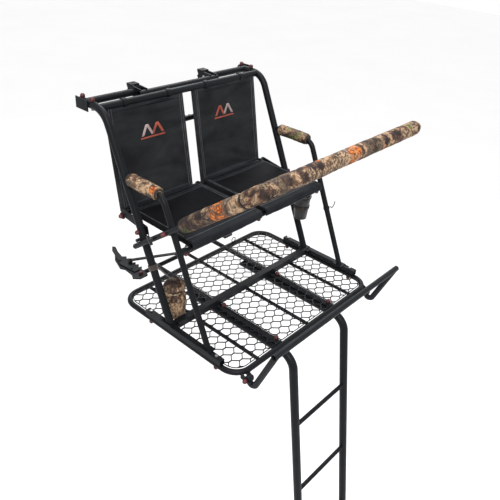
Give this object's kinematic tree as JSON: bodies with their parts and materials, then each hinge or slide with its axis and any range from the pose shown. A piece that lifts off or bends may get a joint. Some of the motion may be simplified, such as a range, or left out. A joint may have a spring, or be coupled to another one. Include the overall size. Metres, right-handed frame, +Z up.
{
  "type": "two-seat ladder tree stand",
  "caption": "Tree stand on a leaning sectional ladder: mesh platform, flip-up sling seats with backrests, armrests, padded shooting rail, footrest and trunk jaws.",
  "frame": {"origin": "midway between the rear tips of the lugs, at the height of the rear top tube: the point that lies against the trunk", "axes": "+Z up, -Y the way the sitters face, +Y towards the trunk, X across the seats; the ladder's foot is at -Z"},
  "size_m": [1.0537, 1.9077, 4.9191],
  "materials": {
    "coated_steel": "satin textured powder coat, worn at edges",
    "grey_coated_steel": "satin powder coat, scuffed by boots",
    "zinc_steel": "dull zinc plate",
    "mesh_fabric": "open coated mesh weave with hemmed edges",
    "seat_fabric": "tight coated mesh weave with hemmed edges",
    "camo_padding": "printed woodland cloth over foam",
    "camo_fabric": "printed woodland cloth",
    "brown_webbing": "woven webbing",
    "red_caps": "soft moulded vinyl",
    "black_plastic": "moulded, fine grain",
    "black_rubber": "moulded, dull",
    "grey_plastic": "moulded, slightly glossy"
  },
  "bodies": {
    "stand": {"platform_frame": "coated_steel", "platform_beams": "coated_steel", "platform_slats": "coated_steel", "platform_mesh": "coated_steel", "mid_crossbar": "coated_steel", "rear_crossbar": "coated_steel", "side_rails": "coated_steel", "main_post_left": "coated_steel", "main_post_right": "coated_steel", "front_post_left": "coated_steel", "front_post_right": "coated_steel", "armrest_pads": "camo_padding", "top_front_tube": "coated_steel", "top_rear_tube": "coated_steel", "post_end_brackets": "coated_steel", "tree_lugs": "coated_steel", "backrest_frames": "coated_steel", "backrest_panel_left": "mesh_fabric", "backrest_panel_right": "mesh_fabric", "seat_crossbar": "coated_steel", "seat_hinge_tube": "coated_steel", "seat_brackets": "coated_steel", "rail_brackets": "coated_steel", "rail_stops": "coated_steel", "footrest_ears": "coated_steel", "ladder_top_rails": "coated_steel", "ladder_mid_rails": "coated_steel", "ladder_low_rails": "coated_steel", "ladder_rungs": "coated_steel", "ladder_sleeves": "coated_steel", "ladder_feet": "black_rubber", "frame_bolts": "zinc_steel", "pivot_bolts": "zinc_steel", "ladder_bolts": "zinc_steel", "bolt_caps": "red_caps", "tube_plugs": "black_plastic", "drink_holder": "grey_plastic", "drink_holder_clamp": "black_plastic", "gear_bag": "camo_fabric", "gear_bag_strap": "brown_webbing", "accessory_hook": "coated_steel", "rope_eye": "coated_steel"},
    "seat_left": {"seat_frame_left": "coated_steel", "seat_panel_left": "seat_fabric"},
    "seat_right": {"seat_frame_right": "coated_steel", "seat_panel_right": "seat_fabric"},
    "shooting_rail": {"rail_tube": "coated_steel", "rail_arm_pads": "camo_padding", "rail_front_pad": "camo_padding", "rail_plugs": "black_plastic"},
    "knob_left": {"rail_knob_left": "black_plastic"},
    "knob_right": {"rail_knob_right": "black_plastic"},
    "footrest": {"footrest_bar": "grey_coated_steel"},
    "left_jaw": {"jaw_left": "coated_steel"},
    "right_jaw": {"jaw_right": "coated_steel"},
    "slider": {"jaw_slider": "coated_steel"},
    "left_link": {"jaw_link_left": "coated_steel"},
    "right_link": {"jaw_link_right": "coated_steel"},
    "hanging_brace": {"tree_brace": "coated_steel"}
  },
  "joints": [
    {"name": "seat_left_flip", "type": "hinge", "parent": "stand", "child": "seat_left", "pos_m": [-0.216, -0.2375, -0.42], "axis": [-1, 0, 0], "range_deg": [0, 80]},
    {"name": "seat_right_flip", "type": "hinge", "parent": "stand", "child": "seat_right", "pos_m": [0.216, -0.2375, -0.42], "axis": [-1, 0, 0], "range_deg": [0, 80]},
    {"name": "rail_flip", "type": "hinge", "parent": "stand", "child": "shooting_rail", "pos_m": [0, -0.56041, -0.361], "axis": [-1, 0, 0], "range_deg": [0, 60]},
    {"name": "rail_knob_left_turn", "type": "hinge", "parent": "shooting_rail", "child": "knob_left", "pos_m": [-0.491, -0.48693, -0.41637], "axis": [-1, 0, 0], "continuous": true},
    {"name": "rail_knob_right_turn", "type": "hinge", "parent": "shooting_rail", "child": "knob_right", "pos_m": [0.491, -0.48693, -0.41637], "axis": [1, 0, 0], "continuous": true},
    {"name": "footrest_flip", "type": "hinge", "parent": "stand", "child": "footrest", "pos_m": [0, -0.9625, -0.865], "axis": [-1, 0, 0], "range_deg": [0, 100]},
    {"name": "jaw_pull", "type": "slide", "parent": "stand", "child": "slider", "axis": [0, -1, 0], "range_m": [0, 0.066]},
    {"name": "jaw_left_close", "type": "hinge", "parent": "stand", "child": "left_jaw", "pos_m": [-0.29, -0.1375, -0.848], "axis": [0, 0, -1], "range_deg": [0, 19.02]},
    {"name": "jaw_right_close", "type": "hinge", "parent": "stand", "child": "right_jaw", "pos_m": [0.29, -0.1375, -0.848], "axis": [0, 0, 1], "range_deg": [0, 19.02]},
    {"name": "jaw_link_left_turn", "type": "hinge", "parent": "slider", "child": "left_link", "pos_m": [-0.052, -0.1355, -0.83], "axis": [0, 0, -1], "range_deg": [0, 15.22]},
    {"name": "jaw_link_right_turn", "type": "hinge", "parent": "slider", "child": "right_link", "pos_m": [0.052, -0.1355, -0.83], "axis": [0, 0, 1], "range_deg": [0, 15.22]},
    {"name": "tree_brace_swing", "type": "hinge", "parent": "stand", "child": "hanging_brace", "pos_m": [0, -0.0485, 0.002], "axis": [1, 0, 0], "range_deg": [0, 38]}
  ],
  "couplings": [
    {"joint": "jaw_left_close", "follows": "jaw_pull", "rad_per_m": 5.0298},
    {"joint": "jaw_right_close", "follows": "jaw_pull", "rad_per_m": 5.0298},
    {"joint": "jaw_link_left_turn", "follows": "jaw_pull", "rad_per_m": 4.0238},
    {"joint": "jaw_link_right_turn", "follows": "jaw_pull", "rad_per_m": 4.0238}
  ]
}
